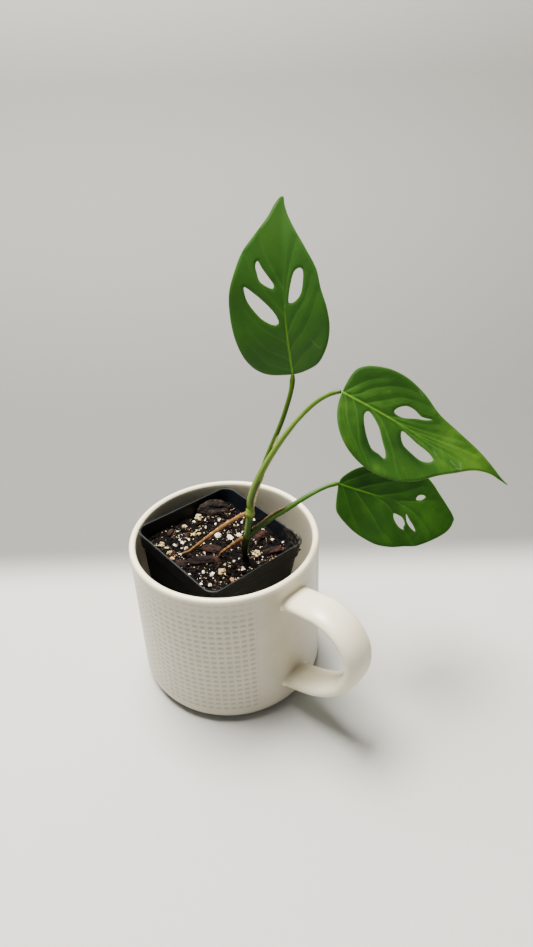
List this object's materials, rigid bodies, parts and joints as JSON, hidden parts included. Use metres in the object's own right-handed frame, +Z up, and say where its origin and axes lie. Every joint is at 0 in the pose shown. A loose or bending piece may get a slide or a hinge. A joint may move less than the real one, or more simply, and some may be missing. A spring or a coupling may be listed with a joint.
{
  "type": "potted monstera obliqua",
  "caption": "Young monstera with holed leaves and air roots in a square nursery pot of bark mix, which leans in a round glazed mug with a loop handle.",
  "frame": {"origin": "centre of the mug's round foot, on the surface that it stands on", "axes": "+Z up along the mug's axis, +X from the axis towards the handle"},
  "size_m": [0.1609, 0.1262, 0.2426],
  "materials": {
    "mug_glaze": "satin ivory glaze over a fine pressed relief",
    "pot_plastic": "black moulded plastic, satin, a little mineral residue",
    "soil": "dark peat mix with white perlite and tan grains, matt",
    "bark": "dark red-brown bark, pitted, matt",
    "stem": "green skin, darker towards the soil, soft sheen",
    "petiole": "light green skin, soft sheen",
    "root": "tan air root, finely ribbed, matt",
    "leaf": "living leaf skin, waxy, with paler veins"
  },
  "bodies": {
    "root": {"mug": "mug_glaze", "nursery_pot": "pot_plastic", "soil": "soil", "bark_chip_1": "bark", "bark_chip_2": "bark", "bark_chip_3": "bark", "bark_chip_4": "bark", "bark_chip_5": "bark", "bark_chip_6": "bark", "bark_chip_7": "bark", "stem": "stem", "petiole_upper": "petiole", "petiole_right": "petiole", "petiole_low": "petiole", "aerial_root_long": "root", "aerial_root_short": "root", "leaf_upper": "leaf", "leaf_right": "leaf", "leaf_low": "leaf"}
  },
  "joints": []
}
